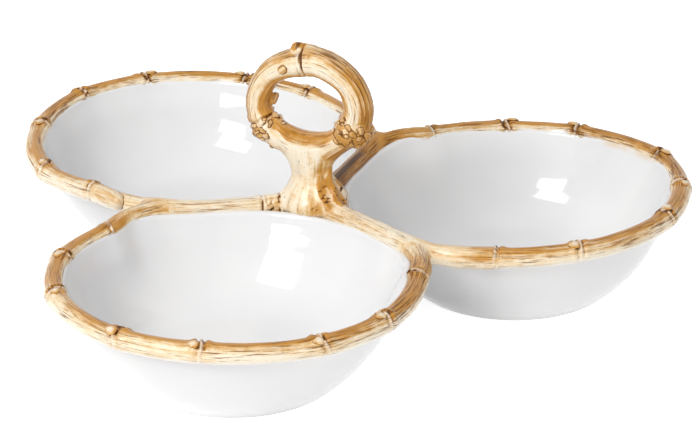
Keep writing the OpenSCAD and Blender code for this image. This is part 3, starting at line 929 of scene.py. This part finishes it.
roots = []
bunch = [(-16, 24, 15, 7, 1.1), (-5, -20, 18, 15, 1.3), (6, 30, 13, 6, 1.2)]
bunch += [(17, -26, 16, 4, 1.1), (27, 14, 11, 1, 0.9)]
for way, heavy in ((335, 0.9), (95, 0.8)):
    for i, (shift, twist, top, reach, r) in enumerate(bunch):
        rows = root_rows(way + shift, twist, top, 2.7, reach * heavy, r * heavy, i + way)
        roots.append(limb(rows, step=2.5, wave=0.2, seed=60 + i))


def melt(parts, q, k, d=None):
    """The field of limbs melted into each other, and into a field d where one is given."""
    for part in parts:
        f = limb_field(part, q)
        d = f if d is None else soft_min(d, f, k)
    return d


def bare(q):
    """Below zero inside the crown's clay, before the small lumps are set on it."""
    d = melt(spread, q, 5.0)
    d = soft_min(d, limb_field(stub, q), 0.8)
    body = soft_min(stem_field(q), limb_field(saddle, q), 11.0)
    d = soft_min(d, body, 5.0)
    d = soft_min(d, limb_field(hoop, q), 1.4)
    d = melt(burls, q, 2.4, d)
    return melt(roots, q, 3.0, d)


def lumps_on(x, y, high, fat, count, seed):
    """Small buds of clay crowded round a burl, with seams between them."""
    rng = np.random.default_rng(seed)
    middle = np.array([x, AXIS[1] + y, RING_H + high])
    i = np.arange(count) + 0.5
    z, turn = 1 - 2 * i / count, i * 2.39996
    out = np.column_stack([np.sqrt(1 - z**2) * np.cos(turn), np.sqrt(1 - z**2) * np.sin(turn), z])
    out += rng.normal(scale=0.09, size=out.shape)
    out /= np.linalg.norm(out, axis=1)[:, None]
    reach = np.arange(2, 16, 0.25)
    rays = middle + out[:, None, :] * reach[None, :, None]
    open_air = bare(rays.reshape(-1, 3)).reshape(count, -1) > 0
    far = np.where(open_air.any(1), reach[np.argmax(open_air, axis=1)], 99)
    for n, d in zip(out, far):
        along = np.cross(n, rng.normal(size=3))
        along *= rng.uniform(0.3, 0.8) * fat / np.linalg.norm(along)
        size = fat * rng.uniform(0.7, 1.2)
        spot = middle + n * (d - 0.5 * size)
        if d < 11:
            yield limb([[*(spot - along), size], [*(spot + along), size * 0.7]], step=9)


curls = [*lumps_on(20.2, -0.8, 38.4, 1.9, 46, 21), *lumps_on(-25.2, -0.8, 32.8, 1.5, 30, 22)]
curls.append(knob(-13.8, -6.3, 67.4, 2.1, (0.6, 0.0, 0.5)))
for reach, over, rise in ((19.5, -3.0, 2.6), (22.5, 1.5, 3.8), (23.5, -3.6, 1.2)):
    x, y = reach * ways(FORKS["left"]) + over * ways(FORKS["left"] - 90)
    curls.append(knob(x, y, RIM_H - RING_H - DIP + rise, 1.9, (0.7, 0.4, 0.0)))


def clay(q):
    """Below zero inside the crown's clay."""
    return melt(curls, q, 0.5, bare(q))


def clay_grid(low, high, step):
    """The clay's field on a grid, worked out closely only in the blocks that its skin can run through."""
    block = 8
    count = np.ceil((high - low) / (step * block)).astype(int)
    cells = np.indices(count).reshape(3, -1).T
    rough = clay(low + (cells + 0.5) * step * block)
    keep = cells[np.abs(rough) < step * block * 0.87 + 2.5]
    value = np.where(rough < 0, -1.0, 1.0).astype(np.float32).reshape(count)
    for axis in range(3):
        value = np.repeat(value, block, axis)
    value = np.pad(value, ((0, 1),) * 3, constant_values=1.0)
    local = np.indices((block + 1,) * 3).reshape(3, -1).T
    for part in np.array_split(keep, max(1, len(keep) // 800)):
        at = (part[:, None, :] * block + local[None]).reshape(-1, 3)
        value[tuple(at.T)] = clay(low + at * step)
    return value


def skin(step):
    """The skin of the clay, with a vertex in each cell of a grid that it runs through, and
    a four-sided face across each edge of the grid that it cuts."""
    low = np.array([-122.0, -64.0, RIM_H - 17])
    high = np.array([122.0, 142.0, RIM_H + 83])
    value = clay_grid(low, high, step)
    inside = value < 0
    n = np.array(value.shape) - 1

    # Cells with corners on both sides of the skin
    corners = [(i, j, k) for i in (0, 1) for j in (0, 1) for k in (0, 1)]
    total = np.zeros(n, dtype=np.int8)
    for i, j, k in corners:
        total += inside[i : i + n[0], j : j + n[1], k : k + n[2]]
    active = np.argwhere((total > 0) & (total < 8))
    number = np.full(n, -1, dtype=np.int32)
    number[tuple(active.T)] = np.arange(len(active))

    # A cell's vertex is the mean of the places where the skin cuts its edges
    mean, hits = np.zeros((len(active), 3)), np.zeros(len(active))
    for a in corners:
        for axis in range(3):
            if a[axis]:
                continue
            b = list(a)
            b[axis] = 1
            va, vb = value[tuple((active + a).T)], value[tuple((active + b).T)]
            cross = (va < 0) != (vb < 0)
            t = np.where(cross, va / np.where(cross, va - vb, 1), 0)
            spot = np.tile(np.array(a, dtype=float), (len(active), 1))
            spot[:, axis] = t
            mean += spot * cross[:, None]
            hits += cross
    verts = low + (active + mean / hits[:, None]) * step

    # The four cells round a cut edge, turned so that the face looks outwards
    faces = []
    for axis in range(3):
        one, two = (axis + 1) % 3, (axis + 2) % 3
        first = np.take(inside, range(n[axis]), axis)
        second = np.take(inside, range(1, n[axis] + 1), axis)
        for flip, edge in ((False, first & ~second), (True, ~first & second)):
            at = np.argwhere(edge)
            quad = []
            for da, db in ((0, 0), (-1, 0), (-1, -1), (0, -1)):
                cell = at.copy()
                cell[:, one] += da
                cell[:, two] += db
                quad.append(number[tuple(cell.T)])
            faces.append(np.stack(quad[::-1] if flip else quad, 1))
    return verts, np.vstack(faces)


def slope(q, reach=0.3):
    """The way in which the clay's field rises, from a short step to both sides."""
    g = np.zeros_like(q)
    for axis in range(3):
        shift = np.zeros(3)
        shift[axis] = reach
        g[:, axis] = (clay(q + shift) - clay(q - shift)) / (2 * reach)
    return g


def lane(number):
    """Where a limb's own stretch of the streaks begins."""
    return 90 * (number + 3)


def limbs_at(p):
    """Which limb each point of the crown is on, where it lies along and round that limb,
    how near it is to the limb's cuts and rings, and how surely it is on that limb alone."""
    parts = ring_parts + spread + [stub] + burls + roots + curls
    second = np.full(len(p), 30.0)
    groove, ridge, kind = np.zeros(len(p)), np.zeros(len(p)), np.full(len(p), -1)
    rel = p[:, :2] - AXIS
    best = stem_field(p)
    turn_stem = np.arctan2(rel[:, 1], rel[:, 0])
    cane = np.column_stack([9 * np.cos(turn_stem), 9 * np.sin(turn_stem), p[:, 2] * 1.4])
    for number, part in enumerate(parts):
        near = np.flatnonzero(np.all((p > part["box"][0]) & (p < part["box"][1]), axis=1))
        if not len(near):
            continue
        far, at = nearest(part, p[near])
        d = far - np.interp(at, part["fine"], part["r"])
        win = d < best[near]
        second[near] = np.where(win, best[near], np.minimum(second[near], d))
        got = near[win]
        at = at[win]
        best[got] = d[win]
        line, u = part["line"].T, part["u"]
        mid = np.column_stack([np.interp(at, u, c) for c in line])
        lead = np.column_stack([np.interp(at, u, np.gradient(c, u)) for c in line])
        lead /= np.linalg.norm(lead, axis=1)[:, None]
        up = part["up"] - (lead @ part["up"])[:, None] * lead
        up /= np.maximum(np.linalg.norm(up, axis=1), 1e-6)[:, None]
        side = np.cross(lead, up)
        off = p[got] - mid
        a = np.arctan2((off * side).sum(1), (off * up).sum(1))
        cane[got] = np.column_stack([6 * np.cos(a), 6 * np.sin(a), at + lane(number)])
        groove[got] = np.interp(at, part["fine"], part["cut"])
        ridge[got] = np.interp(at, part["fine"], part["ring"])
        kind[got] = number
    sure = smooth(0.0, 2.5, second - best)
    return cane, groove, ridge, kind, sure


def crown_skin():
    """The crown's points, drawn closely on to the clay, its faces, and the way out at each point."""
    p, faces = skin(0.66)
    for _ in range(3):
        g = slope(p)
        p = p - g * (clay(p) / np.maximum((g**2).sum(1), 0.2))[:, None]
    normal = slope(p)
    return p, faces, normal / np.linalg.norm(normal, axis=1)[:, None]


def make_crown():
    """The crown's mesh, with its paint."""
    p, faces, normal = crown_skin()
    cane, groove, ridge, kind, sure = limbs_at(p)
    first_spread = len(ring_parts)
    first_stub = first_spread + len(spread)
    first_root = first_stub + 1 + len(burls)
    first_curl = first_root + len(roots)
    on_stem, on_stub, on_cap = kind == -1, kind == first_stub, kind == first_stub + 1 + CAP
    on_ring = (kind >= 0) & (kind < first_spread)
    on_spread = (kind >= first_spread) & (kind <= first_stub)
    on_burl = (kind > first_stub) & (kind < first_root)
    on_root = (kind >= first_root) & (kind < first_curl)
    on_curl, on_divider = kind >= first_curl, kind >= first_curl + len(curls) - 3

    # Flutes along each cane, and bark on the hub's right
    flute = ripple(70, (1.1, 1.7, 2.6), cane[:, 0], cane[:, 1], cane[:, 2] * 0.05)
    gnarled = smooth(32, 21, from_axis(p)) * smooth(16, 9, p[:, 2] - RIM_H)
    gnarled *= smooth(0.0, 0.5, normal @ np.array([0.95, -0.1, 0.0]))
    bark = ripple(77, (0.55, 0.9, 1.4), *p.T)
    p = p + normal * (0.16 * flute * sure + 0.4 * gnarled * bark)[:, None]

    # Brushed fade into the white along the bowls' edges
    inward, high, away = inside_edge(p), p[:, 2] - RIM_H + dip(p), from_axis(p)
    brush = 0.6 * ripple(71, (0.09, 0.2, 0.33), p[:, 0], p[:, 1])
    fade = np.maximum.reduce([
        smooth(-0.9, 0.7, inward + brush) * smooth(4.0, 0.8, high),
        smooth(-1.0, -3.5, high) * smooth(-9, -3, inward),
        smooth(-4.5, -6.5, high),
    ])

    # Amber washes: the stem's right, the ring's inside and outside, forks and knots; the back divider
    # darker, a painted shadow of the stem
    facing = normal @ np.array([0.80, -0.45, 0.0])
    # The ring's faces turned to the front and back are painted paler, with fewer dark dashes: a painted
    # highlight between the ring's own amber edges
    front_highlight = smooth(0.45, 0.95, np.abs(normal[:, 1]))
    ring_in = ((p - [-2.5, AXIS[1], RING_H + 49]) * normal).sum(1)
    outer = smooth(13, 24, ring_in)
    ringed = smooth(-3.0, 4.0, stem_field(p) - melt(ring_parts, p, 1.4)) * (on_stem | on_ring)
    edge = hump(inward + 3.0, 1.3) * smooth(7, 3, high) * (0.35 + 0.65 * smooth(-0.5, 0.2, normal[:, 1]))
    # Behind the stem, on the back divider: painted shade where the stem's shadow falls, over the divider's
    # own dark streaks
    back = smooth(24, 40, p[:, 1]) * smooth(14, 6, np.abs(p[:, 0])) * (high < 11.5)
    fork_top = 0.3 * smooth(66, 82, away) * smooth(-0.2, 0.5, normal[:, 2])
    front_arm = (kind == first_spread + 3) * smooth(24, 12, cane[:, 2] - lane(first_spread + 3))
    right_arm = (kind == first_spread + 5) * smooth(30, 14, cane[:, 2] - lane(first_spread + 5))
    wash_and_shading = 0.02 + 0.2 * ripple(72, (0.06, 0.11, 0.19), *p.T)
    wash_and_shading += (on_stem | on_ring) * (1 - ringed) * (0.55 * smooth(0.6, 1.0, facing) - 0.3)
    wash_and_shading += ringed * (0.5 * smooth(-1, -8, ring_in) + 0.35 * outer - 0.2 * front_highlight + 0.04)
    wash_and_shading += 0.3 * (on_burl | on_root) + 0.2 * on_curl + 0.2 * on_cap - 0.4 * on_divider
    wash_and_shading += on_spread * (0.4 * edge - 0.18 + fork_top) + 0.6 * back
    wash_and_shading += 0.3 * gnarled + 0.3 * front_arm + 0.4 * right_arm

    # Grime, which lets more dark dashes through; more behind the stem as painted shade, fewer on the ring's
    # front faces as painted highlight
    grime_and_shading = 0.25 - 0.15 * on_stem + 0.6 * back + 0.3 * on_burl + 0.3 * on_root + 0.4 * edge
    grime_and_shading += on_ring * (0.2 * smooth(4, 8, np.abs(ring_in)) + 0.4 * outer - 0.3 * front_highlight)
    grime_and_shading = np.clip(np.clip(grime_and_shading, 0, 1) + 0.5 * right_arm, 0, 1)

    # Dark cuts: knots, seams between lumps, pits in the bark, broken lines along the dividers
    seam = smooth(0.32, 0.03, sure)
    stub_end = 0.75 * smooth(8, 11, cane[:, 2] - lane(first_stub))
    seam_share = np.select([on_divider, on_curl, on_root, on_stub], [0.2, 0.8, 0.3, stub_end], 0.0)
    worn = 0.4 + 0.6 * smooth(-0.3, 0.4, ripple(78, (0.8, 1.3, 2.1), *p.T))
    cap_cut = hump(p[:, 0] + 5.2, 1.1) * smooth(RING_H + 69, RING_H + 75, p[:, 2])
    pits = ripple(79, (0.7, 1.0, 1.3, 1.7, 2.1, 2.6, 3.2), *p.T)
    broken = smooth(0.0, 0.5, ripple(73, (0.07, 0.13, 0.3), *p.T)) * hump(inward + 2.6, 0.5)
    dark_lines = smooth(-0.6, 0.3, ripple(74, (0.5, 0.9, 1.4), p[:, 0], p[:, 1] * 0.1, high * 0.6))
    groove = np.maximum.reduce([
        groove * worn,
        seam * seam_share,
        0.75 * front_arm * seam * worn,
        0.75 * on_cap * smooth(0.0, 0.55, ripple(75, (0.6, 1.1, 1.7), *p.T)),
        0.8 * cap_cut * worn,
        0.9 * gnarled * smooth(0.12, 0.42, pits + 0.25 * bark),
        0.75 * broken * on_spread * smooth(-0.3, 0.3, normal[:, 1]),
        # Dark streaks on the back divider, laid only where the stem's shadow falls: real streaks and painted
        # shade
        0.95 * back * dark_lines * smooth(80, 50, away),
    ])
    sure = np.where(on_stem, 0.35 * sure, sure)
    paint = {"cane": cane, "groove": groove, "ridge": 0.7 * ridge, "sure": sure}
    paint |= {"wash_and_shading": wash_and_shading, "grime_and_shading": grime_and_shading, "fade": fade}
    crown = mesh_object("crown", p, faces.tolist(), CANE, paint)
    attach(crown, "root")
    starts, ends = ("ring_", "hub", "stem"), ("_fork", "_divider", "divider_knot")
    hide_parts(*[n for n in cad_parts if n.startswith(starts) or n.endswith(ends)])


make_crown()


# Stage: a pale floor, soft lamps and the camera

def seen_or_mirrored(tree):
    """One for what the camera sees straight, in a gloss or through glass, else nothing."""
    ray = add(tree, "ShaderNodeLightPath").outputs
    mirrored = math_node(tree, "MAXIMUM", ray["Is Glossy Ray"], ray["Is Transmission Ray"])
    return math_node(tree, "MAXIMUM", ray["Is Camera Ray"], mirrored)


def make_stage():
    """A floor and a world that look white but light the bowls more softly."""
    floor, tree, surface = principled("pale floor")
    surface.inputs["Base Color"].default_value = (0.9, 0.9, 0.9, 1)
    surface.inputs["Roughness"].default_value = 0.9
    surface.inputs["Emission Color"].default_value = (1, 1, 1, 1)
    tree.links.new(times(tree, seen_or_mirrored(tree), 0.8), surface.inputs["Emission Strength"])
    half = 6000
    corners = [(-half, -half, 0), (half, -half, 0), (half, half, 0), (-half, half, 0)]
    plane = mesh_object("floor", corners, [(0, 1, 2, 3)], floor)
    world = bpy.data.worlds.new("studio")
    bpy.context.scene.world = world
    world.use_nodes = True
    tree = world.node_tree
    level = add(tree, "ShaderNodeMapRange", {0: seen_or_mirrored(tree), 3: 0.5, 4: 1.0})
    tree.links.new(level.outputs[0], tree.nodes["Background"].inputs["Strength"])
    tree.nodes["Background"].inputs["Color"].default_value = (1, 1, 1, 1)


def lamp(name, place, aim, power, width, height):
    """A flat lamp of a width and height in metres."""
    data = bpy.data.lights.new(name, "AREA")
    data.shape = "RECTANGLE"
    data.size, data.size_y, data.energy = width, height, power
    obj = bpy.data.objects.new(name, data)
    bpy.context.scene.collection.objects.link(obj)
    aim_at(obj, place, aim)
    return obj


def aim_at(obj, place, aim):
    """Puts a lamp or the camera at a place, looking at a point, upright."""
    place, aim = np.array(place), np.array(aim)
    z = (place - aim) / np.linalg.norm(place - aim)
    x = np.cross([0, 0, 1], z)
    x /= np.linalg.norm(x)
    y = np.cross(z, x)
    matrix = np.eye(4)
    matrix[:3, 0], matrix[:3, 1], matrix[:3, 2], matrix[:3, 3] = x, y, z, place
    obj.matrix_world = Matrix(matrix.tolist())


def towards(way, rise, far):
    """A place as seen from the part: turned from the front to the right, raised, and how far off."""
    way, rise = math.radians(way), math.radians(rise)
    flat = far * math.cos(rise)
    return flat * math.sin(way), -flat * math.cos(way), 0.05 + far * math.sin(rise)


make_stage()

# A window of two panes, and two lamps that no gloss shows
lamp("window upper pane", towards(-21, 47, 1.9), (0, 0, 0.05), 12.0, 0.85, 0.50)
lamp("window lower pane", towards(-13, 33, 1.9), (0, 0, 0.05), 9.5, 0.72, 0.38)
low = lamp("low fill", towards(52, 3, 1.9), (0.05, 0.05, 0.05), 5.6, 1.6, 0.22)
low.visible_glossy = False
above = lamp("overhead", (0, -0.02, 1.7), (0, 0, 0.05), 0.9, 1.0, 1.0)
above.visible_glossy = False

# The camera, fitted to the rims, the forks and the ring
view = bpy.data.cameras.new("view")
view.sensor_width = 36.0
view.lens = 185.66
view.clip_end = 20.0
camera = bpy.data.objects.new("view", view)
bpy.context.scene.collection.objects.link(camera)
aim_at(camera, (0.63419, -1.49788, 0.76215), (0.02551, 0.00866, 0.05092))
bpy.context.scene.camera = camera
bpy.context.scene.view_settings.view_transform = "Standard"

bpy.context.view_layer.update()
